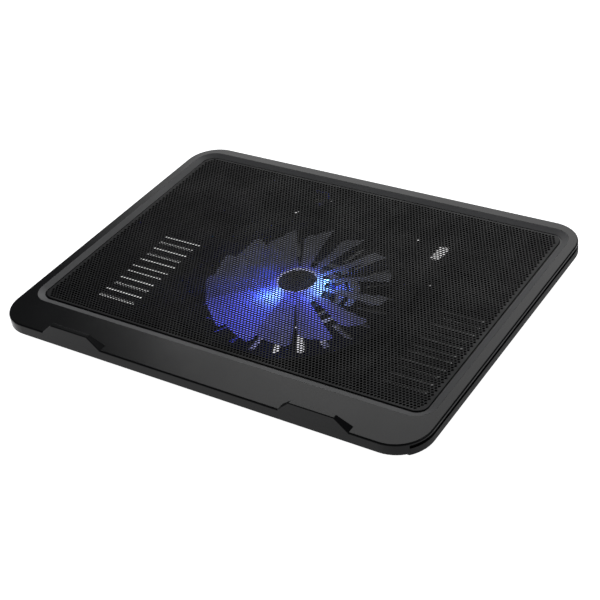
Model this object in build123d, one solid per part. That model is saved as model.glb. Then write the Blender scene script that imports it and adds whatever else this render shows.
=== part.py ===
from build123d import *
import math
import os

# Laptop cooling pad: a moulded tray with a bezel and a perforated deck, one
# 140 mm class fan under the deck, two fold-out rear legs, a USB inlet and a
# slide switch on the rear wall.
# Frame: millimetres, +Z up, Z = 0 on the surface the feet rest on, X along
# the long side, -Y at the user's side, where the two stops stand.

# ---------------------------------------------------------------- sizes
W, D = 355.0, 272.0            # outline of the pad
R_OUT = 26.0                   # outline corner radius
Z_PLATE = 2.5                  # underside of the tray
T_PLATE = 2.2                  # tray wall
Z_RIM = 14.0                   # underside of the rim
Z_APRON = 15.4                 # underside of the bezel's front apron
Z_GROOVE = 19.7                # top of the rim's outer face, foot of the seam groove
Z_SEAM = 22.4                  # bezel sits here
Z_TOP = 24.0                   # bezel top
T_RIM = 3.4                    # rim wall
T_APRON = 1.8                  # front apron of the bezel
Y_APRON = -128.4               # the apron ends half way round the front corners
BELLY_SIDE, BELLY_FRONT = 14.0, 20.0     # inset of the tray's flat bottom
BELLY_REAR = 2.0

# deck opening: slope, then the channel the sheet drops into
WIN_X = 164.6                  # half width of the channel's outer wall
WIN_Y0, WIN_Y1 = -99.9, 122.7
WIN_R = 10.0
SLOPE = 5.2                    # width of the sloped ring
SLOPE_DROP = 1.8
LEDGE_Z0, LEDGE_Z1 = 19.3, 21.9
LEDGE_IN = 7.5
LEDGE_OUT = 3.2                # the ledge ring runs this far under the slope
MESH_X = 163.4
MESH_Y0, MESH_Y1 = -98.7, 121.5
MESH_R = 8.8
MESH_TOP = 22.7               # the sheet is 0.8 thick and lies on the ledge

# front stops
STOP_X = (-102.8, 102.8)
STOP_BASE, STOP_TOP, STOP_H = 54.2, 34.3, 9.0
STOP_T0, STOP_T1 = 7.0, 3.6    # thickness at the root and at the top

# fan
FX, FY = 2.0, 2.0              # fan axis
FAN_OPEN = 47.4                # round opening in the tray floor
N_RAYS, RAY_W = 24, 5.4        # radial slots round it
RAY_R0, RAY_R1 = 48.6, 73.2
HUB_PLATE = 28.0
N_BLADES = 14
R_TIP = 70.0
BLADE_Z0, BLADE_Z1 = 7.8, 18.4
DUCT_R, DUCT_T, DUCT_Z = 88.0, 1.6, 12.0
DUCT_Y = 83.0
SHAFT_R = 1.5
LED_ANGLES = (-128.0, 50.0)
LEAD_A = 116.0                 # spoke that carries the fan lead

# floor slots
SLOT_X0, SLOT_X1, SLOT_W = 109.0, 144.5, 3.1
SLOT_PITCH, SLOT_Y0, N_SLOTS = 8.6, -58.7, 11
T_THIN = 1.0                   # floor thickness round the slots and small holes

# legs
LEG_X = 112.0                  # centre of each leg
LEG_W, LEG_LEN, LEG_T = 36.0, 42.0, 4.4
HINGE_Y, HINGE_Z = 112.0, 5.1
LEG_PIN_R = 1.5

# rear electrics
PCB_X0, PCB_X1, PCB_Y0, PCB_Y1 = -62.0, -18.0, 106.0, 130.6
PCB_Z, PCB_T = 6.5, 1.6
USB_X, SW_X = -48.0, -27.0
USB_W, USB_H = 14.4, 6.8

REAR_Y = D / 2 - BELLY_REAR    # outer face of the tray's rear wall

os.makedirs("parts", exist_ok=True)
nodes = {}


# ---------------------------------------------------------------- helpers
def rrect(x0, x1, y0, y1, r, z0, z1):
    """rounded rectangle block"""
    s = Pos((x0 + x1) / 2, (y0 + y1) / 2, z0) * RectangleRounded(x1 - x0, y1 - y0, r)
    return extrude(s, z1 - z0)


def outline(inset, z0, z1):
    return rrect(-W / 2 + inset, W / 2 - inset, -D / 2 + inset, D / 2 - inset,
                 R_OUT - inset, z0, z1)


def box(x0, x1, y0, y1, z0, z1):
    return Pos((x0 + x1) / 2, (y0 + y1) / 2, (z0 + z1) / 2) * Box(x1 - x0, y1 - y0, z1 - z0)


def cyl(x, y, r, z0, z1):
    return Pos(x, y, (z0 + z1) / 2) * Cylinder(r, z1 - z0)


def tube(x, y, ro, ri, z0, z1):
    return cyl(x, y, ro, z0, z1) - cyl(x, y, ri, z0 - 1, z1 + 1)


def cyl_x(y, z, r, x0, x1):
    return Pos((x0 + x1) / 2, y, z) * Rot(0, 90, 0) * Cylinder(r, x1 - x0)


def cyl_y(x, z, r, y0, y1):
    return Pos(x, (y0 + y1) / 2, z) * Rot(90, 0, 0) * Cylinder(r, y1 - y0)


def taper_block(bottom, top, zb, zt):
    """block lofted between two rounded rectangles (x0, x1, y0, y1, r)"""
    def face(q, z):
        x0, x1, y0, y1, r = q
        return Pos((x0 + x1) / 2, (y0 + y1) / 2, z) * RectangleRounded(x1 - x0, y1 - y0, r)
    return loft([face(bottom, zb), face(top, zt)])


def polar(r, deg, cx=FX, cy=FY):
    a = math.radians(deg)
    return cx + r * math.cos(a), cy + r * math.sin(a)


def group(items):
    return Compound(children=list(items)) if len(items) > 1 else items[0]


def save(name, shape):
    export_step(shape, f"parts/{name}.step")
    nodes[name] = shape


# ---------------------------------------------------------------- tray
belly_bottom = (-W / 2 + BELLY_SIDE, W / 2 - BELLY_SIDE,
                -D / 2 + BELLY_FRONT, REAR_Y, 16.0)
belly_top = (-W / 2 + 4, W / 2 - 4, -D / 2 + 4, REAR_Y, 22.0)
inner_bottom = (-W / 2 + BELLY_SIDE + 2.0, W / 2 - BELLY_SIDE - 2.0,
                -D / 2 + BELLY_FRONT + 2.0, REAR_Y - T_PLATE, 14.0)
inner_top = (-W / 2 + 6.2, W / 2 - 6.2, -D / 2 + 6.2, REAR_Y - T_PLATE, 20.0)

tray = taper_block(belly_bottom, belly_top, Z_PLATE, Z_RIM)
rim = outline(0, Z_RIM, Z_GROOVE)
tray += fillet(rim.faces().sort_by(Axis.Z)[0].edges(), 1.0)
tray += outline(1.6, Z_GROOVE - 0.3, Z_SEAM)            # recessed lip = the seam groove
tray -= taper_block(inner_bottom, inner_top, Z_PLATE + T_PLATE, Z_RIM + T_PLATE)
tray -= outline(T_RIM, Z_RIM + T_PLATE - 0.2, Z_SEAM + 1)

# the rim is set back behind the bezel's front apron
apron_cut = outline(-1, Z_RIM - 0.5, Z_SEAM + 0.5) - outline(T_APRON + 0.1, Z_RIM - 1, Z_SEAM + 1)
apron_cut &= box(-W, W, -D, Y_APRON + 0.1, 0, 40)
tray -= apron_cut

# fan opening with its moulded grille
tray -= cyl(FX, FY, FAN_OPEN, 0, Z_PLATE + T_PLATE + 0.5)
grille = cyl(FX, FY, HUB_PLATE, Z_PLATE, Z_PLATE + T_PLATE)
for r in (37.0, 47.0):
    grille += tube(FX, FY, r + 0.9, r - 0.9, Z_PLATE, Z_PLATE + 3.6)
for k in range(6):
    a = LEAD_A - 60 + 60 * k
    grille += Pos(FX, FY, Z_PLATE + 1.8) * Rot(0, 0, a) * Pos((HUB_PLATE + FAN_OPEN) / 2, 0, 0) \
        * Box(FAN_OPEN - HUB_PLATE + 2.4, 5.4 if k == 1 else 3.0, 3.6)
tray += grille
for k in range(N_RAYS):
    a = LEAD_A + 180.0 / N_RAYS + 360.0 / N_RAYS * k
    ray = extrude(Rot(0, 0, a) * Pos((RAY_R0 + RAY_R1) / 2, 0, 0) * SlotOverall(RAY_R1 - RAY_R0, RAY_W), 8)
    tray -= Pos(FX, FY, 0) * ray
tray -= Pos(FX, FY, Z_PLATE + 2.9) * Rot(0, 0, LEAD_A) * Pos(50, 0, 0) * Box(52, 3.2, 1.8)

# duct wall round the fan, straight along the rear
ring = tube(FX, FY, DUCT_R + DUCT_T, DUCT_R, Z_PLATE + T_PLATE - 0.5, DUCT_Z)
ring -= box(-60, 60, DUCT_Y, 100, 0, 30)
wall = box(-31.5, 62.0, DUCT_Y - 0.4, DUCT_Y + 1.2, Z_PLATE + T_PLATE - 0.5, DUCT_Z)
tray += ring
tray += wall
tray -= Pos(FX, FY, 8.9) * Rot(0, 0, LEAD_A) * Pos(DUCT_R, 0, 0) * Box(8, 4.0, 8.2)

# floor slots on both sides, in a thinned field of the floor
for s in (-1, 1):
    xa, xb = sorted((s * (SLOT_X0 - 3), s * (SLOT_X1 + 3)))
    tray -= rrect(xa, xb, SLOT_Y0 - 5, SLOT_Y0 + SLOT_PITCH * (N_SLOTS - 1) + 5, 3.0,
                  Z_PLATE + T_THIN, Z_PLATE + T_PLATE + 0.1)
    for i in range(N_SLOTS):
        y = SLOT_Y0 + SLOT_PITCH * i
        xm = s * (SLOT_X0 + SLOT_X1) / 2
        tray -= extrude(Pos(xm, y, 0) * SlotOverall(SLOT_X1 - SLOT_X0, SLOT_W), 8)

# cord slot and drain holes in the floor
tray -= rrect(69.5, 78.5, 80.5, 102.0, 3.0, 0, 6)
tray -= rrect(66.5, 81.5, 86.0, 105.0, 4.0, Z_PLATE + T_THIN, 6)
for x, y, r in ((50.0, 102.0, 1.5), (87.0, 52.0, 1.5), (-63.0, 99.5, 2.6)):
    tray -= cyl(x, y, r, 0, 6)
    tray -= cyl(x, y, r + 2.4, Z_PLATE + T_THIN, 6)

# stiffening ribs
for s in (-1, 1):
    tray += box(s * 98 - 0.8, s * 98 + 0.8, -108, 62, Z_PLATE + 1, 9.0)

# leg pockets: box with a roof, open below
for s in (-1, 1):
    x0, x1 = s * LEG_X - LEG_W / 2 - 0.5, s * LEG_X + LEG_W / 2 + 0.5
    y0, y1 = HINGE_Y - LEG_LEN - 0.9, HINGE_Y + 3.4
    tray += box(x0 - 3.0, x1 + 3.0, y0 - 1.6, y1 + 1.6, Z_PLATE, 10.2)
    tray -= box(x0, x1, y0, y1, Z_PLATE - 1, 8.6)
    # hinge bores in the pocket ends, and a finger notch at the free end
    tray -= cyl_x(HINGE_Y, HINGE_Z, LEG_PIN_R, x0 - 2.2, x1 + 2.2)
    tray -= rrect(s * LEG_X - 8, s * LEG_X + 8, y0 - 1.4 - 5.0, y0 + 2.0, 3.0, Z_PLATE - 1, Z_PLATE + 1.4)

# screw posts
POSTS = [(-140, -111), (-50, -111), (50, -111), (140, -111),
         (-140, 126.5), (-72, 126.5), (60, 126.5), (140, 126.5)]
for x, y in POSTS:
    tray += cyl(x, y, 4.0, Z_PLATE + 0.5, 12.0)
    tray -= cyl(x, y, 3.0, 0, Z_PLATE + 2.6)               # screw head recess
    tray -= cyl(x, y, 1.45, 0, 13)

# posts under the circuit board
for x, y in ((PCB_X0 + 4, PCB_Y0 + 4), (PCB_X1 - 4, PCB_Y0 + 4)):
    tray += cyl(x, y, 3.0, Z_PLATE + 1, PCB_Z)
    tray -= cyl(x, y, 0.95, PCB_Z - 3.2, PCB_Z + 1)

for x in (PCB_X0 + 5, PCB_X1 - 5):                          # rests under its rear edge
    tray += box(x - 3, x + 3, 128.4, 132.0, Z_PLATE + 1, PCB_Z)

# rear wall openings for the inlet and the switch
tray -= box(USB_X - USB_W / 2 - 0.25, USB_X + USB_W / 2 + 0.25, REAR_Y - 4, REAR_Y + 3,
            PCB_Z + PCB_T - 0.05, PCB_Z + PCB_T + USB_H + 0.25)
tray -= box(SW_X - 4.4, SW_X + 4.4, REAR_Y - 4, REAR_Y + 1, 9.4, 13.0)

# seats for the rubber feet
FEET = [(-132, -101), (132, -101), (-148, 92), (148, 92)]
for x, y in FEET:
    tray -= rrect(x - 11, x + 11, y - 5, y + 5, 4.9, 0, Z_PLATE + 0.8)

# motor screw holes
MOTOR_SCREWS = [polar(23.0, a) for a in (90, 200, 320)]
for x, y in MOTOR_SCREWS:
    tray -= cyl(x, y, 1.3, 0, 8)
    tray -= cyl(x, y, 2.3, 0, Z_PLATE + 1.2)
save("bottom_shell", tray)

# ---------------------------------------------------------------- bezel
bezel = outline(0, Z_SEAM, Z_TOP)
bezel = fillet(bezel.faces().sort_by(Axis.Z)[-1].edges(), 1.2)
apron = outline(0, Z_APRON, Z_SEAM + 0.5)
apron = fillet(apron.faces().sort_by(Axis.Z)[0].edges(), 0.6)
apron -= outline(T_APRON, Z_APRON - 1, Z_SEAM + 1)
apron &= box(-W, W, -D, Y_APRON, 0, 40)
bezel += apron
# ledge ring that carries the sheet
bezel += rrect(-WIN_X - LEDGE_OUT, WIN_X + LEDGE_OUT, WIN_Y0 - LEDGE_OUT, WIN_Y1 + LEDGE_OUT,
               WIN_R + LEDGE_OUT, LEDGE_Z0, Z_SEAM + 0.2)
slope_cut = taper_block((-WIN_X, WIN_X, WIN_Y0, WIN_Y1, WIN_R),
                        (-WIN_X - SLOPE, WIN_X + SLOPE, WIN_Y0 - SLOPE, WIN_Y1 + SLOPE, WIN_R + SLOPE),
                        Z_TOP - SLOPE_DROP, Z_TOP)
bezel -= slope_cut
bezel -= rrect(-WIN_X, WIN_X, WIN_Y0, WIN_Y1, WIN_R, LEDGE_Z1, Z_TOP + 1)
bezel -= rrect(-WIN_X + LEDGE_IN, WIN_X - LEDGE_IN, WIN_Y0 + LEDGE_IN, WIN_Y1 - LEDGE_IN,
               5.0, LEDGE_Z0 - 1, Z_TOP + 1)
# front stops: trapezoid seen from the front, slanted back face
for xc in STOP_X:
    prof = Plane.XZ.offset(D / 2) * make_face(Polyline(
        (xc - STOP_BASE / 2, Z_TOP - 1.0), (xc + STOP_BASE / 2, Z_TOP - 1.0),
        (xc + STOP_BASE / 2, Z_TOP), (xc + STOP_TOP / 2, Z_TOP + STOP_H),
        (xc - STOP_TOP / 2, Z_TOP + STOP_H), (xc - STOP_BASE / 2, Z_TOP), close=True))
    lug = extrude(prof, -STOP_T0)
    back = Plane.YZ.offset(xc - 40) * make_face(Polyline(
        (-D / 2 + STOP_T0, Z_TOP - 2), (-D / 2 + STOP_T0, Z_TOP),
        (-D / 2 + STOP_T1, Z_TOP + STOP_H + 0.01), (-D / 2 + STOP_T1, Z_TOP + 20),
        (-D / 2 + 30, Z_TOP + 20), (-D / 2 + 30, Z_TOP - 2), close=True))
    lug -= extrude(back, 80)
    lug = fillet([e for e in lug.edges() if e.center().Z > Z_TOP - 0.9], 0.7)
    bezel += lug
# posts that meet the tray's screw posts
for x, y in POSTS:
    bezel += cyl(x, y, 3.6, 12.1, Z_SEAM + 0.5)
    bezel -= cyl(x, y, 1.15, 11, 20.5)
bezel -= slope_cut
save("top_bezel", bezel)

# ---------------------------------------------------------------- deck sheet
mesh = rrect(-MESH_X, MESH_X, MESH_Y0, MESH_Y1, MESH_R, LEDGE_Z1, MESH_TOP)
mesh = fillet(mesh.faces().sort_by(Axis.Z)[-1].edges(), 0.5)
save("mesh_panel", mesh)

# ---------------------------------------------------------------- feet and screws
feet = [rrect(x - 10.8, x + 10.8, y - 4.8, y + 4.8, 4.7, 0, Z_PLATE + 0.8) for x, y in FEET]
save("rubber_feet", group(feet))


def pan_screw(x, y, z_head, head_r, head_h, r, length):
    """screw driven from below: head underneath, thread upwards, cross recess"""
    s = cyl(x, y, head_r, z_head, z_head + head_h) + cyl(x, y, r, z_head + head_h - 0.1, z_head + head_h + length)
    s -= box(x - head_r * 0.6, x + head_r * 0.6, y - 0.25, y + 0.25, z_head - 1, z_head + 0.7)
    s -= box(x - 0.25, x + 0.25, y - head_r * 0.6, y + head_r * 0.6, z_head - 1, z_head + 0.7)
    return s


save("case_screws", group([pan_screw(x, y, Z_PLATE + 0.8, 2.7, 1.8, 1.15, 13.0) for x, y in POSTS]))
save("motor_screws", group([pan_screw(x, y, Z_PLATE + 0.1, 2.1, 1.1, 0.9, 3.6) for x, y in MOTOR_SCREWS]))

# ---------------------------------------------------------------- motor, fixed side
Z_FLOOR = Z_PLATE + T_PLATE                                  # 4.7
base = cyl(FX, FY, 26.0, Z_FLOOR, Z_FLOOR + 1.5) + cyl(FX, FY, 4.0, Z_FLOOR, 13.8)
base -= cyl(FX, FY, 2.5, Z_FLOOR + 0.4, 20)
for x, y in MOTOR_SCREWS:
    base += cyl(x, y, 2.2, Z_FLOOR, 8.0)
    base -= cyl(x, y, 0.9, 0, 20)
save("motor_base", base)
save("bearing_sleeve", tube(FX, FY, 2.5, SHAFT_R + 0.05, 6.6, 13.6))

pcb_z = Z_FLOOR + 1.5                                         # 6.2
fan_pcb = tube(FX, FY, 20.0, 4.0, pcb_z, pcb_z + 1.0)
for a in LED_ANGLES:
    fan_pcb += (Pos(FX, FY, pcb_z + 0.5) * Rot(0, 0, a) * Pos(21.5, 0, 0) * Box(5.0, 4.0, 1.0))
fan_pcb += Pos(FX, FY, pcb_z + 0.5) * Rot(0, 0, LEAD_A) * Pos(21.5, 0, 0) * Box(5.0, 4.6, 1.0)
save("fan_pcb", fan_pcb)

core = tube(FX, FY, 6.6, 4.0, 8.2, 11.4)
for k in range(4):
    core += Pos(FX, FY, 9.8) * Rot(0, 0, 90 * k) * Pos(8.6, 0, 0) * Box(6.0, 3.0, 3.2)
shoe = tube(FX, FY, 13.0, 11.0, 8.2, 11.4)
for k in range(4):
    shoe -= Pos(FX, FY, 9.8) * Rot(0, 0, 45 + 90 * k) * Pos(12, 0, 0) * Box(8, 4.2, 8)
core += shoe
core += tube(FX, FY, 4.6, 4.0, pcb_z + 1.0, 8.3)
save("stator_core", core)
coils = []
for k in range(4):
    c = Box(3.2, 5.2, 5.0) - Box(4.0, 3.0, 3.2)
    coils.append(Pos(FX, FY, 9.8) * Rot(0, 0, 90 * k) * Pos(8.9, 0, 0) * c)
save("stator_coils", group(coils))

leds = []
for a in LED_ANGLES:
    body = Pos(1.2, 0, 0) * Rot(0, 90, 0) * Cylinder(1.45, 2.6)
    dome = Pos(2.5, 0, 0) * Sphere(1.45)
    led = body + dome
    led += Pos(-0.2, 0, -0.75) * Box(1.2, 2.6, 1.5)
    leds.append(Pos(FX, FY, pcb_z + 1.0 + 1.5) * Rot(0, 0, a) * Pos(21.2, 0, 0) * led)
save("fan_leds", group(leds))

# ---------------------------------------------------------------- motor, turning side
shaft = cyl(FX, FY, SHAFT_R, 5.6, 15.6)
save("rotor_shaft", shaft)
save("shaft_clip", tube(FX, FY, 2.25, SHAFT_R, 5.9, 6.3))
yoke = tube(FX, FY, 16.4, 15.5, 7.9, 15.6) + tube(FX, FY, 16.4, SHAFT_R, 14.7, 15.6)
save("rotor_yoke", yoke)
save("rotor_magnet", tube(FX, FY, 15.5, 13.7, 8.2, 14.4))
save("hub_label", cyl(FX, FY, 14.3, 15.6, 15.9))

# impeller: cup round the yoke with a sloped shoulder, and pitched blades
hub = Pos(FX, FY, 0) * revolve(Plane.XZ * make_face(Polyline(
    (16.4, 8.0), (19.6, 8.0), (19.8, 12.0), (19.5, 15.0), (17.6, 17.0), (14.9, 17.0),
    (14.6, 16.7), (14.6, 15.6), (16.4, 15.6), close=True)), Axis.Z)

BLADE_T, BLADE_PITCH, BLADE_YAW = 1.2, 22.0, 5.0


def blade(angle):
    """inclined flat plate cut to a fan-shaped plan; its upper edge is on the
    clockwise side seen from above"""
    zc = (BLADE_Z0 + BLADE_Z1) / 2
    plate = Pos(44, 0, zc) * Rot(-BLADE_PITCH, 0, 0) * Box(60, 60, BLADE_T)
    plan = make_face(Polyline((17.6, -3.6), (17.6, 3.6), (46.0, 8.4), (72.0, 13.6),
                              (72.0, -12.4), (46.0, -8.2), close=True))
    b = plate & extrude(plan, 30)
    b &= box(10, 80, -30, 30, BLADE_Z0, BLADE_Z1)
    return Pos(FX, FY, 0) * Rot(0, 0, angle) * Pos(18, 0, 0) * Rot(0, 0, BLADE_YAW) * Pos(-18, 0, 0) * b


impeller = hub
for k in range(N_BLADES):
    impeller += blade(360.0 / N_BLADES * k + 2.0)
impeller &= tube(FX, FY, R_TIP, 14.0, 7.6, 18.8)
impeller -= tube(FX, FY, 26.6, 20.4, 7.0, 10.9)            # room over the two lamps
save("impeller", impeller)

# ---------------------------------------------------------------- legs
for side, s in (("left", -1), ("right", 1)):
    xc = s * LEG_X
    x0, x1 = xc - LEG_W / 2, xc + LEG_W / 2
    y_tip = HINGE_Y - LEG_LEN
    leg = box(x0, x1, y_tip + 2.0, HINGE_Y - 0.2, Z_PLATE + 0.2, Z_PLATE + 0.2 + LEG_T)
    leg = fillet(leg.edges().filter_by(Axis.Z).group_by(Axis.Y)[0], 4.0)
    leg += cyl_x(HINGE_Y, HINGE_Z, 2.6, x0, x1)
    # weight-saving pocket on the hidden face, and finger groove near the tip
    leg -= rrect(x0 + 3, x1 - 3, y_tip + 12, HINGE_Y - 6, 2.0, Z_PLATE + 0.2 + 1.8, 12)
    leg += box(xc - 0.8, xc + 0.8, y_tip + 11.5, HINGE_Y - 5.5, Z_PLATE + 1.5, Z_PLATE + 0.2 + LEG_T)
    leg -= cyl_x(HINGE_Y, HINGE_Z, LEG_PIN_R + 0.05, x0 - 1, x1 + 1)
    leg -= box(x0 + 5, x1 - 5, y_tip - 1, y_tip + 3.5, Z_PLATE + 1.2, Z_PLATE + 0.2 + LEG_T + 1)
    save(f"{side}_leg", leg)
    pad = box(x0 + 5, x1 - 5, y_tip + 0.9, y_tip + 3.5, Z_PLATE + 1.2, Z_PLATE + 0.2 + LEG_T - 0.2)
    save(f"{side}_leg_pad", pad)
    save(f"{side}_hinge_pin", cyl_x(HINGE_Y, HINGE_Z, LEG_PIN_R, x0 - 2.6, x1 + 2.6))

# ---------------------------------------------------------------- rear electrics
pcb = box(PCB_X0, PCB_X1, PCB_Y0, PCB_Y1, PCB_Z, PCB_Z + PCB_T)
board_holes = [(PCB_X0 + 4, PCB_Y0 + 4), (PCB_X1 - 4, PCB_Y0 + 4)]
for x, y in board_holes:
    pcb -= cyl(x, y, 1.2, 0, 20)
save("control_board", pcb)
ZB = PCB_Z + PCB_T                                            # 8.1
bs = []
for x, y in board_holes:
    bs.append(cyl(x, y, 2.0, ZB, ZB + 1.4) + cyl(x, y, 0.95, ZB - 4.4, ZB + 0.1)
              - box(x - 1.2, x + 1.2, y - 0.22, y + 0.22, ZB + 0.8, ZB + 2)
              - box(x - 0.22, x + 0.22, y - 1.2, y + 1.2, ZB + 0.8, ZB + 2))
save("board_screws", group(bs))

# USB socket: folded steel shell with a plastic tongue block
y0, y1 = REAR_Y - 14.0, REAR_Y - 0.2
shell = box(USB_X - USB_W / 2, USB_X + USB_W / 2, y0, y1, ZB, ZB + USB_H)
shell -= box(USB_X - USB_W / 2 + 0.5, USB_X + USB_W / 2 - 0.5, y0 - 1, y1 + 1, ZB + 0.5, ZB + USB_H - 0.5)
save("usb_socket_shell", shell)
block = box(USB_X - USB_W / 2 + 0.5, USB_X + USB_W / 2 - 0.5, y0 + 0.2, y0 + 3.6, ZB + 0.5, ZB + USB_H - 0.5)
block += box(USB_X - 5.6, USB_X + 5.6, y0 + 3, y1 - 0.8, ZB + 3.9, ZB + 5.7)
save("usb_socket_insert", block)
contacts = []
for i in range(4):
    x = USB_X - 3.5 + (0, 2.5, 4.5, 7.0)[i]
    contacts.append(box(x - 0.5, x + 0.5, y0 + 3.7, y1 - 1.6, ZB + 3.7, ZB + 3.9))
save("usb_contacts", group(contacts))

# slide switch
hous = box(SW_X - 5.5, SW_X + 5.5, REAR_Y - T_PLATE - 5.2, REAR_Y - T_PLATE - 0.2, ZB, ZB + 5.8)
hous -= box(SW_X - 4.6, SW_X + 4.6, REAR_Y - T_PLATE - 3.6, REAR_Y, 9.4, 13.0)
save("switch_housing", hous)
slider = box(SW_X - 1.2, SW_X + 3.9, REAR_Y - T_PLATE - 3.4, REAR_Y - T_PLATE - 1.0, 9.6, 12.8)
slider += box(SW_X - 0.2, SW_X + 2.9, REAR_Y - T_PLATE - 1.2, REAR_Y + 1.4, 9.8, 12.6)
for i in range(3):
    slider -= box(SW_X + 0.35 + 0.9 * i, SW_X + 0.75 + 0.9 * i, REAR_Y + 1.1, REAR_Y + 2, 9, 13)
save("switch_slider", slider)

# two-pin lead connector and smoothing capacitor on the board
CONN_X = -46.0
conn = box(CONN_X - 3.4, CONN_X + 3.4, PCB_Y0 + 0.2, PCB_Y0 + 6.0, ZB, ZB + 4.4)
for dx in (-1.2, 1.2):
    conn -= cyl_y(CONN_X + dx, ZB + 1.9, 0.75, PCB_Y0 - 1, PCB_Y0 + 3.4)
save("lead_connector", conn)
cap = cyl(-33.0, PCB_Y0 + 5.0, 3.15, ZB, ZB + 8.0)
cap -= tube(-33.0, PCB_Y0 + 5.0, 4.0, 2.95, ZB + 6.8, ZB + 7.3)
save("board_capacitor", cap)


# fan lead: two insulated wires from the motor board, out along the grooved
# spoke, through the gap in the duct wall and into the connector's mouth
R_WIRE = 0.62


def lead_points(off, cx):
    a = math.radians(LEAD_A)
    ux, uy = math.cos(a), math.sin(a)

    def at(r, z):
        return Vector(FX + r * ux - off * uy, FY + r * uy + off * ux, z)
    zl = Z_PLATE + 2.0 + R_WIRE + 0.08
    zt = pcb_z + 1.0 + R_WIRE + 0.03
    zc = ZB + 1.9
    return [at(21.2, zt), at(25.4, zt), at(31.5, zl + 0.12), at(39.0, zl), at(54.0, zl + 0.01),
            at(70.0, zl + 0.15), at(84.0, 7.2), at(97.0, 9.3),
            Vector(CONN_X + cx, PCB_Y0 - 4.2, zc - 0.02), Vector(CONN_X + cx, PCB_Y0 + 3.0, zc)]


def route(points, rw):
    """straight runs joined by tangent arcs, swept with a round section"""
    segs = []
    n = len(points)
    prev = points[0]
    radii = []
    for i in range(1, n - 1):
        a, b, c = points[i - 1], points[i], points[i + 1]
        u, v = (b - a), (c - b)
        lu, lv = u.length, v.length
        u, v = u / lu, v / lv
        turn = math.acos(max(-1, min(1, u.dot(v))))
        t = 0.45 * min(lu, lv)
        radii.append(round(t / math.tan(turn / 2), 1))
        s, e = b - u * t, b + v * t
        segs.append(Line(prev, s))
        bis = (v - u)
        bis = bis / bis.length
        R = t / math.tan(turn / 2)
        centre = b + bis * (R / math.cos(turn / 2))
        mid = centre - bis * R
        segs.append(ThreePointArc(s, mid, e))
        prev = e
    segs.append(Line(prev, points[-1]))
    path = Wire(segs)
    start = Plane(origin=points[0], z_dir=points[1] - points[0])
    body = sweep(start * Circle(rw), path=path, transition=Transition.ROUND)
    return body, path.length, radii


wires = []
for off, cx in ((0.75, -1.2), (-0.75, 1.2)):
    body, length, radii = route(lead_points(off, cx), R_WIRE)
    want = math.pi * R_WIRE ** 2 * length
    print("fan lead: length", round(length, 1), "radii", radii, "volume ratio", round(body.volume / want, 4))
    wires.append(body)
save("fan_lead", group(wires))

box_all = Compound(children=[n for n in nodes.values()]).bounding_box()
print(len(nodes), "nodes; overall", [round(v, 2) for v in (box_all.min.X, box_all.max.X, box_all.min.Y,
      box_all.max.Y, box_all.min.Z, box_all.max.Z)])
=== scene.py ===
import math
import bpy
import numpy as np
from mathutils import Matrix, Vector
from mathutils.geometry import delaunay_2d_cdt


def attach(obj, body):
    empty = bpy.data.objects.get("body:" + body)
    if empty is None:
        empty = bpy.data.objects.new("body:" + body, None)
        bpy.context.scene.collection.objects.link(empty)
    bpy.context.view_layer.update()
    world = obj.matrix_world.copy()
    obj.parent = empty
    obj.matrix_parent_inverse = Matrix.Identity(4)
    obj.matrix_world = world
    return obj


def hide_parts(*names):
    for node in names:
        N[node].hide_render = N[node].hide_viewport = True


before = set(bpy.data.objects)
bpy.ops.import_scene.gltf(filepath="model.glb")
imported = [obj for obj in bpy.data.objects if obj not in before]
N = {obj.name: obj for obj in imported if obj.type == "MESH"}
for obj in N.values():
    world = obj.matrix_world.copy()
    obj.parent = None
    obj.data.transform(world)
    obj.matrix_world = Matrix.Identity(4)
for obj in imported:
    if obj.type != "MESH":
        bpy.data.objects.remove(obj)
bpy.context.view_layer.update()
MM = 0.001


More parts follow.
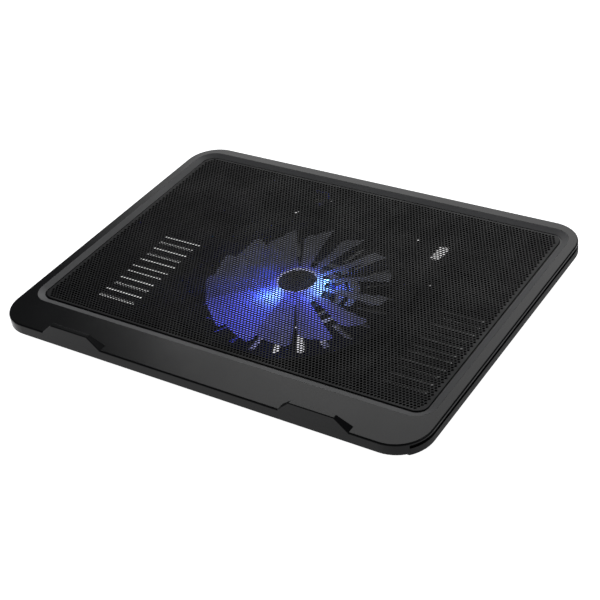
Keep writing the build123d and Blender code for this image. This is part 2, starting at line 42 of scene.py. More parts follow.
# ------------------------------------------------------------------ materials
class Mat:
    """a node material with object-space coordinates in metres"""

    def __init__(self, name):
        self.m = bpy.data.materials.new(name)
        self.m.use_nodes = True
        self.t = self.m.node_tree
        self.t.nodes.clear()
        self.out = self.t.nodes.new("ShaderNodeOutputMaterial")
        self.obj = self.t.nodes.new("ShaderNodeTexCoord").outputs["Object"]

    def node(self, kind, **inputs):
        n = self.t.nodes.new(kind)
        for k, v in inputs.items():
            k = k.replace("_", " ")
            if isinstance(v, bpy.types.NodeSocket):
                self.t.links.new(v, n.inputs[k])
            else:
                n.inputs[k].default_value = v
        return n

    def link(self, a, b):
        self.t.links.new(a, b)

    def noise(self, size_mm, detail=3.0, rough=0.55, stretch=None, vector=None):
        v = vector or self.obj
        if stretch:
            mp = self.t.nodes.new("ShaderNodeMapping")
            mp.inputs["Scale"].default_value = stretch
            self.link(v, mp.inputs["Vector"])
            v = mp.outputs["Vector"]
        n = self.node("ShaderNodeTexNoise", Vector=v, Scale=1000.0 / size_mm, Detail=detail, Roughness=rough)
        return n.outputs["Fac"]

    def remap(self, v, a, b, c, d):
        n = self.node("ShaderNodeMapRange", Value=v)
        for k, x in (("From Min", a), ("From Max", b), ("To Min", c), ("To Max", d)):
            n.inputs[k].default_value = x
        return n.outputs["Result"]

    def math(self, op, a, b=0.0):
        n = self.t.nodes.new("ShaderNodeMath")
        n.operation = op
        for i, x in enumerate((a, b)):
            if isinstance(x, bpy.types.NodeSocket):
                self.link(x, n.inputs[i])
            else:
                n.inputs[i].default_value = x
        return n.outputs[0]

    def mix(self, fac, a, b):
        n = self.t.nodes.new("ShaderNodeMix")
        n.data_type = "RGBA"
        n.clamp_factor = True
        for k, x in ((0, fac), (6, a), (7, b)):
            if isinstance(x, bpy.types.NodeSocket):
                self.link(x, n.inputs[k])
            else:
                n.inputs[k].default_value = x
        return n.outputs[2]

    def bump(self, height, dist_mm, strength=1.0, normal=None):
        n = self.node("ShaderNodeBump", Height=height, Distance=dist_mm * MM, Strength=strength)
        if normal is not None:
            self.link(normal, n.inputs["Normal"])
        return n.outputs["Normal"]

    def principled(self, **inputs):
        return self.node("ShaderNodeBsdfPrincipled", **inputs)


def rgb(r, g=None, b=None):
    return (r, r if g is None else g, r if b is None else b, 1.0)


def surface(name, base, rough, metallic=0.0, spec=0.5, grain=0.5, grain_mm=0.02, blotch=25.0,
            vary=0.18, rvary=0.08, stretch=None, coat=0.0, second=None, matte=0.0, textured=None):
    """a solid finish: colour and roughness wander over the part, and a fine grain stands in relief"""
    m = Mat(name)
    slow = m.noise(blotch, 4.0)
    fine = m.noise(grain, 3.0, 0.6, stretch)
    dark = rgb(*[c * (1 - vary) for c in base])
    light = rgb(*[min(1.0, c * (1 + vary)) for c in base])
    if second is not None:
        light = rgb(*second)
    col = m.mix(m.remap(slow, 0.3, 0.7, 0.0, 1.0), dark, light)
    col = m.mix(m.remap(fine, 0.35, 0.75, 0.0, 0.35), col, light)
    r = m.math("ADD", m.remap(slow, 0.3, 0.7, rough - rvary, rough + rvary),
               m.remap(fine, 0.3, 0.7, -rvary * 0.5, rvary * 0.5))
    if textured is not None:
        k = textured(m)                     # a band of the same part with a coarser, paler texture
        col = m.mix(k, col, m.mix(m.remap(fine, 0.3, 0.7, 0.0, 1.0), rgb(0.028, 0.028, 0.03), rgb(0.042, 0.042, 0.045)))
        r = m.math("ADD", r, m.math("MULTIPLY", k, 0.38))
    p = m.principled(Base_Color=col, Roughness=r, Metallic=metallic)
    p.inputs["Specular IOR Level"].default_value = spec
    if textured is not None:
        m.link(m.math("ADD", spec, m.math("MULTIPLY", k, 0.85 - spec)), p.inputs["Specular IOR Level"])
    p.inputs["Coat Weight"].default_value = coat
    bumped = m.bump(fine, grain_mm)
    m.link(bumped, p.inputs["Normal"])
    surf = p.outputs["BSDF"]
    if matte:
        flat = m.node("ShaderNodeBsdfDiffuse", Color=col, Normal=bumped)
        both = m.node("ShaderNodeMixShader", Fac=matte)
        m.link(surf, both.inputs[1])
        m.link(flat.outputs[0], both.inputs[2])
        surf = both.outputs[0]
    m.link(surf, m.out.inputs["Surface"])
    return m.m


def laminated(name, base, pitch_mm, axis, rough, metallic, depth_mm):
    """fine parallel layers or turns across an axis"""
    m = Mat(name)
    w = m.t.nodes.new("ShaderNodeTexWave")
    w.bands_direction = axis
    w.wave_profile = "SIN"
    w.inputs["Scale"].default_value = 1000.0 / pitch_mm / 20.0 * math.pi
    w.inputs["Distortion"].default_value = 0.4
    w.inputs["Detail"].default_value = 1.0
    m.link(m.obj, w.inputs["Vector"])
    slow = m.noise(4.0)
    f = m.remap(slow, 0.3, 0.7, 0.75, 1.0)
    col = m.mix(m.math("MULTIPLY", w.outputs["Fac"], f), rgb(*[c * 0.35 for c in base]), rgb(*base))
    p = m.principled(Base_Color=col, Metallic=metallic, Roughness=m.remap(slow, 0.3, 0.7, rough - 0.08, rough + 0.1))
    m.link(m.bump(w.outputs["Fac"], depth_mm), p.inputs["Normal"])
    m.link(p.outputs["BSDF"], m.out.inputs["Surface"])
    return m.m


tray_abs = surface("tray_abs", (0.006, 0.006, 0.0066), 0.4, spec=0.35, grain=0.45, grain_mm=0.03, blotch=40, rvary=0.05, matte=0.65)


def deck_slope(m):
    """1 on the bezel's slope round the deck, 0 everywhere else"""
    c = m.node("ShaderNodeSeparateXYZ", Vector=m.obj)
    high = m.remap(c.outputs["Z"], 0.02393, 0.02397, 1.0, 0.0)
    low = m.remap(c.outputs["Z"], 0.0221, 0.0222, 0.0, 1.0)
    side = m.remap(m.math("ABSOLUTE", c.outputs["X"]), 0.1715, 0.172, 1.0, 0.0)
    rear = m.remap(c.outputs["Y"], 0.1295, 0.13, 1.0, 0.0)
    front = m.remap(c.outputs["Y"], -0.1075, -0.107, 0.0, 1.0)
    k = m.math("MULTIPLY", m.math("MULTIPLY", high, low), m.math("MULTIPLY", side, m.math("MULTIPLY", rear, front)))
    return k


bezel_abs = surface("bezel_abs", (0.004, 0.004, 0.0045), 0.22, spec=0.14, grain=0.35, grain_mm=0.006, blotch=60, vary=0.12, rvary=0.03, matte=0.1, textured=deck_slope)
deck_steel = surface("deck_steel", (0.005, 0.005, 0.0056), 0.5, spec=0.22, grain=0.6, grain_mm=0.02, blotch=30, rvary=0.06, matte=0.25)
feet_rubber = surface("feet_rubber", (0.02, 0.02, 0.021), 0.85, spec=0.3, grain=0.3, grain_mm=0.03, blotch=6)
leg_abs = surface("leg_abs", (0.013, 0.013, 0.014), 0.5, spec=0.45, grain=0.4, grain_mm=0.025, blotch=12)
pin_steel = surface("pin_steel", (0.42, 0.42, 0.43), 0.32, metallic=1.0, grain=0.25, grain_mm=0.004, blotch=3, stretch=(0.1, 1, 1))
screw_steel = surface("screw_steel", (0.11, 0.11, 0.12), 0.4, metallic=1.0, grain=0.25, grain_mm=0.008, blotch=2)
yoke_steel = surface("yoke_steel", (0.16, 0.16, 0.17), 0.36, metallic=1.0, grain=0.4, grain_mm=0.006, blotch=5)
magnet_ferrite = surface("magnet_ferrite", (0.035, 0.033, 0.032), 0.62, grain=0.3, grain_mm=0.02, blotch=2)
sleeve_bronze = surface("sleeve_bronze", (0.42, 0.26, 0.12), 0.45, metallic=1.0, grain=0.2, grain_mm=0.01, blotch=1.5)
motor_plastic = surface("motor_plastic", (0.014, 0.014, 0.016), 0.5, grain=0.4, grain_mm=0.015, blotch=8)
core_steel = laminated("core_steel", (0.34, 0.34, 0.36), 0.5, "Z", 0.4, 1.0, 0.03)
coil_copper = laminated("coil_copper", (0.72, 0.27, 0.1), 0.28, "Z", 0.34, 1.0, 0.06)
socket_steel = surface("socket_steel", (0.62, 0.62, 0.6), 0.27, metallic=1.0, grain=0.3, grain_mm=0.003, blotch=3, stretch=(1, 0.08, 1))
socket_plastic = surface("socket_plastic", (0.55, 0.56, 0.58), 0.5, grain=0.25, grain_mm=0.008, blotch=3, vary=0.08)
contact_gold = surface("contact_gold", (0.9, 0.62, 0.22), 0.25, metallic=1.0, grain=0.2, grain_mm=0.002, blotch=1)
switch_plastic = surface("switch_plastic", (0.02, 0.02, 0.021), 0.42, grain=0.25, grain_mm=0.012, blotch=3)
connector_nylon = surface("connector_nylon", (0.66, 0.62, 0.5), 0.5, grain=0.3, grain_mm=0.01, blotch=2, vary=0.08)
wire_grey = surface("wire_grey", (0.03, 0.03, 0.032), 0.42, grain=0.3, grain_mm=0.01, blotch=4)
wire_black = surface("wire_black", (0.012, 0.012, 0.012), 0.42, grain=0.3, grain_mm=0.01, blotch=4)


def board_material():
    """solder mask over copper tracks, with the tracks standing slightly proud"""
    m = Mat("pcb_green")
    v = m.node("ShaderNodeTexVoronoi", Vector=m.obj, Scale=420.0)
    v.feature = "DISTANCE_TO_EDGE"
    v.distance = "EUCLIDEAN"
    track = m.remap(v.outputs["Distance"], 0.05, 0.09, 1.0, 0.0)
    slow = m.noise(6.0)
    col = m.mix(track, rgb(0.006, 0.045, 0.016), rgb(0.012, 0.09, 0.03))
    col = m.mix(m.remap(slow, 0.3, 0.7, 0.0, 0.3), col, rgb(0.004, 0.03, 0.01))
    p = m.principled(Base_Color=col, Roughness=m.remap(slow, 0.3, 0.7, 0.24, 0.38))
    m.link(m.bump(track, 0.03), p.inputs["Normal"])
    m.link(p.outputs["BSDF"], m.out.inputs["Surface"])
    return m.m


def capacitor_material():
    """printed sleeve on the side, bare aluminium on the top face"""
    m = Mat("capacitor_can")
    geo = m.t.nodes.new("ShaderNodeNewGeometry")
    sep = m.node("ShaderNodeSeparateXYZ", Vector=geo.outputs["Normal"])
    top = m.remap(sep.outputs["Z"], 0.5, 0.8, 0.0, 1.0)
    pos = m.node("ShaderNodeSeparateXYZ", Vector=m.obj)
    stripe = m.remap(pos.outputs["Y"], 0.1124, 0.1128, 0.0, 1.0)
    slow = m.noise(2.0)
    body = m.mix(stripe, rgb(0.012, 0.014, 0.03), rgb(0.5, 0.5, 0.52))
    col = m.mix(top, body, rgb(0.72, 0.72, 0.73))
    p = m.principled(Base_Color=col, Metallic=top, Roughness=m.remap(slow, 0.3, 0.7, 0.26, 0.42))
    m.link(m.bump(m.noise(0.3), 0.006), p.inputs["Normal"])
    m.link(p.outputs["BSDF"], m.out.inputs["Surface"])
    return m.m


def label_material():
    """dark satin film with faint turned rings about the fan axis"""
    m = Mat("label_film")
    mp = m.t.nodes.new("ShaderNodeMapping")
    mp.inputs["Location"].default_value = (-0.002, -0.002, 0.0)
    m.link(m.obj, mp.inputs["Vector"])
    w = m.t.nodes.new("ShaderNodeTexWave")
    w.wave_type = "RINGS"
    w.rings_direction = "Z"
    w.inputs["Scale"].default_value = 260.0
    w.inputs["Distortion"].default_value = 0.6
    w.inputs["Detail"].default_value = 2.0
    m.link(mp.outputs["Vector"], w.inputs["Vector"])
    slow = m.noise(7.0)
    col = m.mix(m.math("MULTIPLY", w.outputs["Fac"], slow), rgb(0.05, 0.05, 0.054), rgb(0.13, 0.13, 0.14))
    p = m.principled(Base_Color=col, Roughness=m.remap(slow, 0.3, 0.7, 0.34, 0.5))
    m.link(m.bump(w.outputs["Fac"], 0.004), p.inputs["Normal"])
    m.link(p.outputs["BSDF"], m.out.inputs["Surface"])
    return m.m


def lamp_material():
    m = Mat("led_lens")
    slow = m.noise(1.5)
    p = m.principled(Base_Color=m.mix(slow, rgb(0.5, 0.7, 1.0), rgb(0.8, 0.9, 1.0)), Roughness=m.remap(slow, 0.3, 0.7, 0.1, 0.25))
    p.inputs["Emission Color"].default_value = rgb(0.12, 0.42, 1.0)
    m.link(m.remap(slow, 0.3, 0.7, 26.0, 34.0), p.inputs["Emission Strength"])
    m.link(m.bump(m.noise(0.4), 0.01), p.inputs["Normal"])
    m.link(p.outputs["BSDF"], m.out.inputs["Surface"])
    return m.m


def clear_material(name, tint, see, glow, gloss_rough, lamp_glow_strength, extra_body_glow=0.0):
    """smoky clear moulding: part of the light goes straight through, part is scattered inside; a faint painted grey
    glow stands in for ambient light scattered in the moulding, and a painted blue glow stands in for the lamps' light
    """
    m = Mat(name)
    slow = m.noise(18.0, 3.0)
    fine = m.noise(0.8, 3.0)
    nrm = m.bump(fine, 0.012)
    body = m.mix(m.remap(slow, 0.3, 0.7, 0.0, 1.0), rgb(*[c * 0.85 for c in tint]), rgb(*tint))
    through = m.node("ShaderNodeBsdfTransparent", Color=rgb(*see))
    soft = m.node("ShaderNodeBsdfTranslucent", Color=body, Normal=nrm)
    skin = m.principled(Base_Color=body, Roughness=m.remap(slow, 0.3, 0.7, gloss_rough - 0.05, gloss_rough + 0.07), Normal=nrm)
    skin.inputs["Specular IOR Level"].default_value = 0.6
    cloudy = m.node("ShaderNodeMixShader", Fac=0.5)
    m.link(soft.outputs[0], cloudy.inputs[1])
    m.link(skin.outputs[0], cloudy.inputs[2])
    # painted glow: a faint grey emission stands in for ambient light scattered inside the moulding
    painted_body_glow = m.node("ShaderNodeEmission", Color=rgb(0.9, 0.92, 1.0))
    m.link(m.remap(slow, 0.3, 0.7, 0.065 + extra_body_glow, 0.105 + extra_body_glow), painted_body_glow.inputs["Strength"])
    with_body_glow = m.node("ShaderNodeAddShader")
    m.link(cloudy.outputs[0], with_body_glow.inputs[0])
    m.link(painted_body_glow.outputs[0], with_body_glow.inputs[1])
    cloudy = with_body_glow
    shell = m.node("ShaderNodeMixShader", Fac=m.remap(slow, 0.3, 0.7, glow - 0.04, glow + 0.04))
    m.link(through.outputs[0], shell.inputs[1])
    m.link(cloudy.outputs[0], shell.inputs[2])

    # painted lamp light: a blue emission on the moulding stands in for the light of the two lamps spreading outwards
    # from the hub; the lamps stand still, so the painted pattern is set by position and not by the blade
    pos = m.node("ShaderNodeSeparateXYZ", Vector=m.t.nodes.new("ShaderNodeNewGeometry").outputs["Position"])
    x = m.math("SUBTRACT", pos.outputs["X"], 0.002)
    y = m.math("SUBTRACT", pos.outputs["Y"], 0.002)
    r = m.math("SQRT", m.math("ADD", m.math("MULTIPLY", x, x), m.math("MULTIPLY", y, y)))

    def lobe(deg, spread):
        """1 along a direction from the axis, falling off to both sides"""
        a = math.radians(deg)
        c = m.math("DIVIDE", m.math("ADD", m.math("MULTIPLY", x, math.cos(a)), m.math("MULTIPLY", y, math.sin(a))), r)
        k = 1.0 / (1.0 - math.cos(math.radians(spread)))
        return m.math("EXPONENT", m.math("MULTIPLY", m.math("SUBTRACT", c, 1.0), k))

    def fall(start, scale):
        return m.math("EXPONENT", m.math("MULTIPLY", m.math("MAXIMUM", m.math("SUBTRACT", r, start * MM), 0.0), -1000.0 / scale))

    def times(v, k):
        return m.math("MULTIPLY", v, k)
    wide = times(m.math("MULTIPLY", lobe(-110, 28), fall(24, 75)), 1.9)
    side = times(m.math("MULTIPLY", lobe(-38, 19), fall(24, 40)), 1.3)
    left = times(m.math("MULTIPLY", lobe(-150, 24), fall(22, 60)), 0.15)
    core = m.math("MULTIPLY", fall(19, 6), m.math("ADD", 0.55, m.math("ADD", times(lobe(5, 38), 1.8), times(lobe(-112, 42), 1.4))))
    blue = m.math("ADD", m.math("ADD", wide, side), m.math("ADD", left, core))
    blue = m.math("MULTIPLY", blue, m.remap(slow, 0.3, 0.7, 0.85, 1.1))
    # painted bright spots of lamp light close to the two lamps
    hot = m.math("ADD", m.math("MULTIPLY", fall(21.5, 4.0), times(lobe(8, 30), 1.15)), m.math("MULTIPLY", fall(27.0, 5.5), lobe(-109, 13)))
    painted_lamp_glow = m.node("ShaderNodeEmission", Color=rgb(0.05, 0.065, 1.0))
    m.link(m.math("MULTIPLY", blue, lamp_glow_strength), painted_lamp_glow.inputs["Strength"])
    spot = m.node("ShaderNodeEmission", Color=rgb(0.3, 0.62, 1.0))
    m.link(m.math("MULTIPLY", hot, 2.6 * lamp_glow_strength), spot.inputs["Strength"])
    both = m.node("ShaderNodeAddShader")
    m.link(painted_lamp_glow.outputs[0], both.inputs[0])
    m.link(spot.outputs[0], both.inputs[1])
    lit = m.node("ShaderNodeAddShader")
    m.link(shell.outputs[0], lit.inputs[0])
    m.link(both.outputs[0], lit.inputs[1])
    m.link(lit.outputs[0], m.out.inputs["Surface"])
    return m.m


smoke = clear_material("impeller_clear", (0.55, 0.56, 0.6), (0.7, 0.71, 0.75), 0.8, 0.3, 0.8)
# the hub rim glows more strongly: a painted grey glow standing in for its highlight
hub_rim = clear_material("impeller_rim", (0.85, 0.87, 0.9), (0.85, 0.85, 0.87), 0.95, 0.2, 0.1, 0.5)

FINISH = {
    "bottom_shell": tray_abs, "top_bezel": bezel_abs, "rubber_feet": feet_rubber, "case_screws": screw_steel,
    "motor_screws": screw_steel, "motor_base": motor_plastic, "bearing_sleeve": sleeve_bronze,
    "fan_pcb": board_material(), "stator_core": core_steel, "stator_coils": coil_copper, "fan_leds": lamp_material(),
    "rotor_shaft": pin_steel, "shaft_clip": switch_plastic, "rotor_yoke": yoke_steel, "rotor_magnet": magnet_ferrite,
    "hub_label": label_material(), "left_leg": leg_abs, "right_leg": leg_abs, "left_leg_pad": feet_rubber,
    "right_leg_pad": feet_rubber, "left_hinge_pin": pin_steel, "right_hinge_pin": pin_steel,
    "board_screws": screw_steel, "usb_socket_shell": socket_steel, "usb_socket_insert": socket_plastic,
    "usb_contacts": contact_gold, "switch_housing": switch_plastic, "switch_slider": switch_plastic,
    "lead_connector": connector_nylon, "board_capacitor": capacitor_material(),
}
FINISH["control_board"] = FINISH["fan_pcb"]
for name, m in FINISH.items():
    for s in N[name].material_slots:
        s.material = m


# ------------------------------------------------------------------ mesh helpers
def make(name, verts_mm, faces, mats, smooth=None, mat_index=None):
    me = bpy.data.meshes.new(name)
    me.from_pydata([tuple(v) for v in np.asarray(verts_mm, float) * MM], [], [list(map(int, f)) for f in faces])
    for m in mats:
        me.materials.append(m)
    if smooth is not None:
        me.polygons.foreach_set("use_smooth", np.asarray(smooth, bool))
    if mat_index is not None:
        me.polygons.foreach_set("material_index", np.asarray(mat_index, np.int32))
    me.update()
    o = bpy.data.objects.new(name, me)
    bpy.context.scene.collection.objects.link(o)
    return o


# ------------------------------------------------------------------ deck sheet
# staggered six-sided holes right up to a rounded edge
def deck_sheet():
    X, Y0, Y1, R = 163.4, -98.7, 121.5, 8.8
    ZT, T, ZB, ROLL = 22.7, 0.8, 21.9, 0.5
    PX = 2.69
    PY = PX * math.sqrt(3) / 2
    HOLE = 2.05 / math.sqrt(3)               # hole circumradius
    CELL = PX / math.sqrt(3)
    MARGIN = 1.1

    def rounded(inset, n=10):
        pts = []
        r = R - inset
        for cx, cy, a0 in ((X - R, Y1 - R, 0), (-X + R, Y1 - R, 90), (-X + R, Y0 + R, 180), (X - R, Y0 + R, 270)):
            for k in range(n + 1):
                a = math.radians(a0 + 90.0 * k / n)
                pts.append((cx + r * math.cos(a), cy + r * math.sin(a)))
        return np.array(pts)

    def inside(px, py, inset):
        x, y = abs(px), py
        if x > X - inset or y > Y1 - inset or y < Y0 + inset:
            return False
        cy = max(Y0 + R - y, y - (Y1 - R), 0.0)
        cx = max(x - (X - R), 0.0)
        return cx == 0 or cy == 0 or math.hypot(cx, cy) < R - inset

    corner = [(math.cos(math.radians(30 + 60 * k)), math.sin(math.radians(30 + 60 * k))) for k in range(6)]
    cells, loose = {}, {}
    jn = int((Y1 - Y0) / PY) + 3
    inn = int(X / PX) + 3
    ymid = (Y0 + Y1) / 2
    for j in range(-jn // 2 - 1, jn // 2 + 2):
        for i in range(-inn, inn + 1):
            cx = (i + 0.5 * (j % 2)) * PX
            cy = ymid + j * PY
            if all(inside(cx + CELL * a, cy + CELL * b, MARGIN) for a, b in corner):
                cells[(i, j)] = (cx, cy)
            elif all(inside(cx + (HOLE + 0.2) * a, cy + (HOLE + 0.2) * b, 1.0) for a, b in corner):
                loose[(i, j)] = (cx, cy)
    verts, key = [], {}

    def vert(x, y):
        k = (round(x * 200), round(y * 200))
        for dx in (0, -1, 1):
            for dy in (0, -1, 1):
                q = key.get((k[0] + dx, k[1] + dy))
                if q is not None:
                    return q
        key[k] = len(verts)
        verts.append((x, y))
        return key[k]

    outer, inner = [], []
    for cx, cy in cells.values():
        outer.append([vert(cx + CELL * a, cy + CELL * b) for a, b in corner])
    n_out = len(verts)
    for cx, cy in cells.values():
        base = len(verts)
        verts.extend((cx + HOLE * a, cy + HOLE * b) for a, b in corner)
        inner.append(list(range(base, base + 6)))
    edge_holes = []
    for cx, cy in loose.values():
        base = len(verts)
        verts.extend((cx + HOLE * a, cy + HOLE * b) for a, b in corner)
        edge_holes.append(list(range(base, base + 6)))
    n2 = len(verts)
    edge_count = {}
    for ring in outer:
        for k in range(6):
            e = (ring[k], ring[(k + 1) % 6])
            edge_count[frozenset(e)] = edge_count.get(frozenset(e), 0) + 1
    zig = [tuple(e) for e, c in edge_count.items() if c == 1]
    rim = rounded(ROLL)
    zig += [(h[k], h[(k + 1) % 6]) for h in edge_holes for k in range(6)]
    zig_ids = sorted(set(v for e in zig for v in e))
    local = {v: i for i, v in enumerate(zig_ids)}
    pts2 = [Vector(verts[v]) for v in zig_ids] + [Vector(p) for p in rim]
    nz = len(zig_ids)
    edges = [(local[a], local[b]) for a, b in zig] + [(nz + i, nz + (i + 1) % len(rim)) for i in range(len(rim))]
    out = delaunay_2d_cdt(pts2, edges, [], 0, 1e-7)
    cv, cf, orig = out[0], out[2], out[3]
    ids = []
    for i, o in enumerate(orig):
        ids.append(o[0] if o else -1)
    assert all(i >= 0 for i in ids) and len(cv) == len(pts2)
    centres = set(cells.keys())

    flat = HOLE * math.sqrt(3) / 2

    def in_cells(x, y):
        j0 = round((y - ymid) / PY)
        best, bk = 1e9, None
        for j in (j0 - 1, j0, j0 + 1):
            i0 = round(x / PX - 0.5 * (j % 2))
            for i in (i0 - 1, i0, i0 + 1):
                d = (x - (i + 0.5 * (j % 2)) * PX) ** 2 + (y - ymid - j * PY) ** 2
                if d < best:
                    best, bk = d, (i, j)
        if bk in loose:
            dx, dy = x - loose[bk][0], y - loose[bk][1]
            return max(abs(dx * math.cos(t) + dy * math.sin(t)) for t in (0, math.pi / 3, 2 * math.pi / 3)) < flat
        return bk in centres

    rim_base = n2
    verts.extend(map(tuple, rim))
    fill = []
    for f in cf:
        p = [cv[i] for i in f]
        gx, gy = sum(v.x for v in p) / 3, sum(v.y for v in p) / 3
        if in_cells(gx, gy) or not inside(gx, gy, ROLL):
            continue
        tri = [zig_ids[ids[i]] if ids[i] < nz else rim_base + ids[i] - nz for i in f]
        ax, ay = verts[tri[0]]
        bx, by = verts[tri[1]]
        qx, qy = verts[tri[2]]
        if (bx - ax) * (qy - ay) - (by - ay) * (qx - ax) < 0:
            tri.reverse()
        fill.append(tri)
    nv = len(verts)
    v2 = np.array(verts)
    V = np.vstack([np.c_[v2, np.full(nv, ZT)], np.c_[v2, np.full(nv, ZT - T)]])
    faces = []
    for o, h in zip(outer, inner):
        for k in range(6):
            q = (k + 1) % 6
            faces.append((o[k], o[q], h[q], h[k]))
            faces.append((o[q] + nv, o[k] + nv, h[k] + nv, h[q] + nv))
            faces.append((h[k], h[q], h[q] + nv, h[k] + nv))
    for h in edge_holes:
        for k in range(6):
            q = (k + 1) % 6
            faces.append((h[k], h[q], h[q] + nv, h[k] + nv))
    for t in fill:
        faces.append(t)
        faces.append([i + nv for i in reversed(t)])
    n_flat = len(faces)
    # rounded edge: rings from the flat top round to the flat underside
    prof = [(ROLL - ROLL * math.sin(a), ZT - ROLL + ROLL * math.cos(a)) for a in np.linspace(0, math.pi / 2, 7)[1:]]
    prof += [(0.0, ZB + 0.08), (0.08, ZB)]
    m = len(rim)
    rings = [np.arange(rim_base, rim_base + m)]
    base = len(V)
    extra = []
    for inset, z in prof:
        extra.append(np.c_[rounded(inset), np.full(m, z)])
        rings.append(np.arange(base, base + m))
        base += m
    rings.append(np.arange(rim_base, rim_base + m) + nv)
    V = np.vstack([V] + extra)
    for a, b in zip(rings[:-1], rings[1:]):
        for i in range(m):
            k = (i + 1) % m
            faces.append((a[i], b[i], b[k], a[k]))
    smooth = np.zeros(len(faces), bool)
    smooth[n_flat:] = True
    o = make("deck_sheet", V, faces, [deck_steel], smooth)
    return o, len(cells) + len(loose)


sheet, n_holes = deck_sheet()
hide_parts("mesh_panel")
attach(sheet, "base")

# ------------------------------------------------------------------ impeller
FX, FY = 2.0, 2.0


def impeller():
    V, F, S, MI = [], [], [], []

    def add(verts, faces, smooth=True, mat=0):
        b = len(V)
        V.extend(verts)
        for f in faces:
            F.append([i + b for i in f])
            S.append(smooth)
            MI.append(mat)

    # hub: a cup with a rounded shoulder, turned about the axis
    def arc(cx, cz, r, a0, a1, n):
        return [(cx + r * math.cos(math.radians(a)), cz + r * math.sin(math.radians(a))) for a in np.linspace(a0, a1, n)]
    prof = [(16.45, 8.0), (19.5, 8.0), (19.7, 8.2), (19.8, 12.0), (19.6, 14.6)]
    prof += arc(17.5, 14.95, 2.05, 8, 90, 8)
    prof += [(15.5, 17.0)]
    rim_from = len(prof) - 1
    prof += [(14.95, 17.0), (14.7, 16.9), (14.6, 16.7), (14.6, 15.62)]
    rim_to = len(prof) - 1
    prof += [(16.45, 15.62)]
    n = 112
    vs = [(FX + r * math.cos(2 * math.pi * k / n), FY + r * math.sin(2 * math.pi * k / n), z) for r, z in prof for k in range(n)]
    for i in range(len(prof)):
        j = (i + 1) % len(prof)
        fs = [(i * n + k, i * n + (k + 1) % n, j * n + (k + 1) % n, j * n + k) for k in range(n)]
        b = len(V)
        if i == 0:
            V.extend(vs)
            hub_base = b
        for f in fs:
            F.append([q + hub_base for q in f])
            S.append(i not in (0, len(prof) - 1, len(prof) - 2, rim_to))
            MI.append(1 if rim_from <= i < rim_to else 0)
    # blades: twisted, cambered, thinner towards the edges, with a rounded tip
    R0, R1, K = 18.9, 69.6, 11
    stations = [0, .05, .1, .16, .2, .28, .38, .48, .58, .68, .78, .86, .9, .93, .955, .975, .988, .996, 1.0]
    for blade in range(14):
        ang = math.radians(360.0 / 14 * blade + 2.0)
        loops = []
        for u in stations:
            r = R0 + (R1 - R0) * u
            w = 3.6 + (r - 18.0) * 0.185
            k = min(1.0, max(0.0, (r - 26.6) / 26.0))
            k = k * k * (3 - 2 * k)
            h = 2.3 + 2.5 * k                      # the root stays clear of the lamps below it
            zc = 13.7 - 0.7 * k
            cam = 0.5 + 1.0 * u
            th = 1.25 - 0.35 * u
            tip = 1.0
            if u > 0.9:
                q = (u - 0.9) / 0.1
                tip = 1 - 0.36 * (1 - math.sqrt(max(0.0, 1 - (q * 0.995) ** 2)))
            L = math.hypot(w, h)
            nx, nz = -h / L, -w / L                # towards the suction side
            low = 11.0 if r < 26.8 else 7.8
            sweep = (r - 18.0) * math.tan(math.radians(5.0)) - 1.6 * u * u
            loop = []
            for side in (1, -1):
                for v in np.linspace(-1, 1, K)[:: side][: K - 1]:
                    vv = v * tip
                    t = vv * w + sweep
                    z = zc - vv * h
                    c = cam * (1 - vv * vv) - 0.35 * cam
                    half = th / 2 * max(0.0, 1 - (abs(v)) ** 4) ** 0.5 * (0.85 + 0.15 * tip)
                    if abs(v) > 0.999:
                        half = 0.0
                    loop.append((r, t + nx * (c + side * half), max(low, z + nz * (c + side * half))))
            loops.append(loop)
        m = len(loops[0])
        ca, sa = math.cos(ang), math.sin(ang)
        vs = [(FX + r * ca - t * sa, FY + r * sa + t * ca, min(18.4, max(7.8, z))) for lp in loops for r, t, z in lp]
        fs = []
        for i in range(len(loops) - 1):
            for k in range(m):
                q = (k + 1) % m
                fs.append((i * m + k, (i + 1) * m + k, (i + 1) * m + q, i * m + q))
        add(vs, fs)
        last = (len(loops) - 1) * m
        add_face = [tuple(range(m)), tuple(reversed(range(last, last + m)))]
        b = len(V) - len(vs)
        for f in add_face:
            F.append([i + b for i in f])
            S.append(False)
            MI.append(0)
    return make("impeller_moulding", V, F, [smoke, hub_rim], S, MI)


imp = impeller()
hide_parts("impeller")
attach(imp, "rotor")


# ------------------------------------------------------------------ fan lead
def wire_line(off, cx):
    a = math.radians(116.0)
    ux, uy = math.cos(a), math.sin(a)

    def at(r, z):
        return np.array((FX + r * ux - off * uy, FY + r * uy + off * ux, z))
    P = [at(21.2, 7.85), at(25.4, 7.85), at(31.5, 5.32), at(39.0, 5.20), at(54.0, 5.21), at(70.0, 5.35),
         at(84.0, 7.2), at(97.0, 9.3), np.array((-46.0 + cx, 101.8, 9.98)), np.array((-46.0 + cx, 109.0, 10.0))]
    line = [P[0]]
    for i in range(1, len(P) - 1):
        u, v = P[i] - P[i - 1], P[i + 1] - P[i]
        lu, lv = np.linalg.norm(u), np.linalg.norm(v)
        t = 0.45 * min(lu, lv)
        s, e = P[i] - u / lu * t, P[i] + v / lv * t
        for q in np.linspace(0, 1, 9):
            line.append((1 - q) ** 2 * s + 2 * q * (1 - q) * P[i] + q * q * e)
    line.append(P[-1])
    return np.array(line)


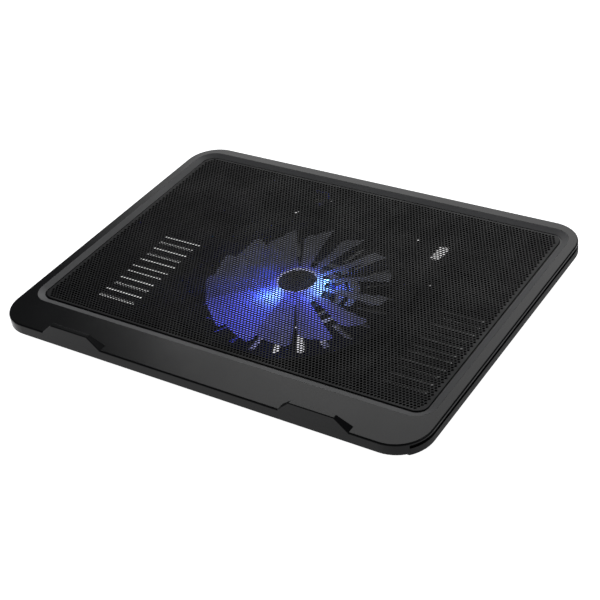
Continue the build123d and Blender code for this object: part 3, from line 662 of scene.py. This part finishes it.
def tube(name, line, r, mat, n=14):
    V, F, S = [], [], []
    tan = np.gradient(line, axis=0)
    tan /= np.linalg.norm(tan, axis=1)[:, None]
    side = np.cross(tan[0], (0, 0, 1.0))
    side /= np.linalg.norm(side)
    for p, t in zip(line, tan):
        side = side - t * side.dot(t)
        side /= np.linalg.norm(side)
        up = np.cross(t, side)
        for k in range(n):
            a = 2 * math.pi * k / n
            V.append(p + r * (side * math.cos(a) + up * math.sin(a)))
    m = len(line)
    for i in range(m - 1):
        for k in range(n):
            q = (k + 1) % n
            F.append((i * n + k, i * n + q, (i + 1) * n + q, (i + 1) * n + k))
            S.append(True)
    F.append(tuple(reversed(range(n))))
    F.append(tuple(range((m - 1) * n, m * n)))
    S += [False, False]
    return make(name, V, F, [mat], S)


wire_a = tube("fan_wire_grey", wire_line(0.75, -1.2), 0.62, wire_grey)
wire_b = tube("fan_wire_black", wire_line(-0.75, 1.2), 0.62, wire_black)
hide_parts("fan_lead")
for w in (wire_a, wire_b):
    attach(w, "base")

# ------------------------------------------------------------------ stage, light, camera
me = bpy.data.meshes.new("floor")
me.from_pydata([(-6, -6, -0.0004), (6, -6, -0.0004), (6, 6, -0.0004), (-6, 6, -0.0004)], [], [(0, 1, 2, 3)])
floor = bpy.data.objects.new("floor", me)
bpy.context.scene.collection.objects.link(floor)
fm = Mat("floor_white")
fslow = fm.noise(300.0)
fp = fm.principled(Base_Color=fm.mix(fslow, rgb(0.84), rgb(0.88)), Roughness=0.7)
fp.inputs["Specular IOR Level"].default_value = 0.2
fp.inputs["Emission Color"].default_value = rgb(1.0)
fpos = fm.node("ShaderNodeSeparateXYZ", Vector=fm.obj)
fx, fy = fpos.outputs["X"], fpos.outputs["Y"]


def times(a, b):
    return fm.math("MULTIPLY", a, b)


# the table glows evenly all round the pad; under it is painted shadow, with painted pools of daylight where it would
# reach
outside = fm.remap(fm.math("MAXIMUM", fm.math("DIVIDE", fm.math("ABSOLUTE", fx), 0.154),
                           fm.math("DIVIDE", fm.math("ABSOLUTE", fy), 0.113)), 0.9, 1.0, 0.0, 1.0)
left = fm.remap(fx, -0.092, -0.104, 0.0, 0.95)
front = times(fm.remap(fy, 0.0, -0.045, 0.1, 0.95), fm.remap(fx, 0.078, 0.092, 1.0, 0.0))
# the painted light under the fan is least under its left half, most a little right of its middle
front = times(front, times(fm.remap(fx, -0.002, 0.012, 0.42, 1.0), fm.remap(fx, 0.04, 0.05, 1.0, 0.15)))
# painted blue light of the lamps on the table under the slots on that side
tint = times(times(fm.remap(fx, -0.092, -0.088, 0.0, 1.0), fm.remap(fx, -0.004, 0.01, 1.0, 0.0)),
             times(fm.remap(fy, -0.1, -0.096, 0.0, 1.0), fm.remap(fy, -0.02, -0.03, 0.0, 1.0)))
fm.link(fm.mix(tint, rgb(1.0), rgb(0.08, 0.09, 1.0)), fp.inputs["Emission Color"])
# painted pools of light on the table under the rear and under the cord slot
rear = fm.remap(fy, 0.078, 0.084, 0.0, 0.95)
spot = times(times(fm.remap(fx, 0.068, 0.074, 0.0, 0.95), fm.remap(fx, 0.094, 0.1, 1.0, 0.0)), fm.remap(fy, 0.044, 0.05, 0.0, 1.0))
# painted light and shade: the brightest of the painted pools, with a dim painted shadow everywhere else under the pad
lit = fm.math("MAXIMUM", fm.math("MAXIMUM", left, front), fm.math("MAXIMUM", rear, spot))
fm.link(fm.math("MAXIMUM", fm.math("MAXIMUM", lit, outside), 0.03), fp.inputs["Emission Strength"])
fm.link(fp.outputs["BSDF"], fm.out.inputs["Surface"])
me.materials.append(fm.m)

sc = bpy.context.scene
world = bpy.data.worlds.new("studio")
world.use_nodes = True
bg = world.node_tree.nodes["Background"]
bg.inputs["Color"].default_value = (0.92, 0.96, 1.0, 1.0)
bg.inputs["Strength"].default_value = 0.16
sc.world = world


def softbox(name, loc, target, w, h, power, color=(1, 1, 1)):
    d = bpy.data.lights.new(name, "AREA")
    d.shape = "RECTANGLE"
    d.size, d.size_y = w, h
    d.energy = power
    d.color = color
    o = bpy.data.objects.new(name, d)
    o.location = loc
    o.rotation_mode = "QUATERNION"
    o.rotation_quaternion = (Vector(target) - Vector(loc)).to_track_quat("-Z", "Y")
    sc.collection.objects.link(o)
    return o


key = softbox("key", (-1.78, 3.78, 2.8), (0, 0, 0), 3.2, 3.2, 88)
key.data.shape = "DISK"
softbox("fill", (0.9, 0.5, 1.6), (0.05, 0, 0), 0.8, 0.8, 3)

for i, deg in enumerate((-128.0, 50.0)):
    a = math.radians(deg)
    d = bpy.data.lights.new(f"lamp_{i}", "POINT")
    d.shadow_soft_size = 0.001
    d.energy = (0.14, 0.012)[i]
    d.color = (0.03, 0.08, 1.0)
    o = bpy.data.objects.new(f"lamp_{i}", d)
    o.location = ((FX + 27.2 * math.cos(a)) * MM, (FY + 27.2 * math.sin(a)) * MM, 8.6 * MM)
    sc.collection.objects.link(o)

cam = bpy.data.cameras.new("camera")
cam.lens = 82.208
cam.sensor_width = 36.0
cam.clip_start, cam.clip_end = 0.05, 30.0
co = bpy.data.objects.new("camera", cam)
r = (0.837718, 0.533565, -0.116350)
u = (-0.234111, 0.543363, 0.806194)
b = (0.493377, -0.648124, 0.580099)
co.matrix_world = Matrix(((r[0], u[0], b[0], 0.512243), (r[1], u[1], b[1], -0.668111), (r[2], u[2], b[2], 0.598115), (0, 0, 0, 1)))
sc.collection.objects.link(co)
sc.camera = co
sc.view_settings.view_transform = "Standard"
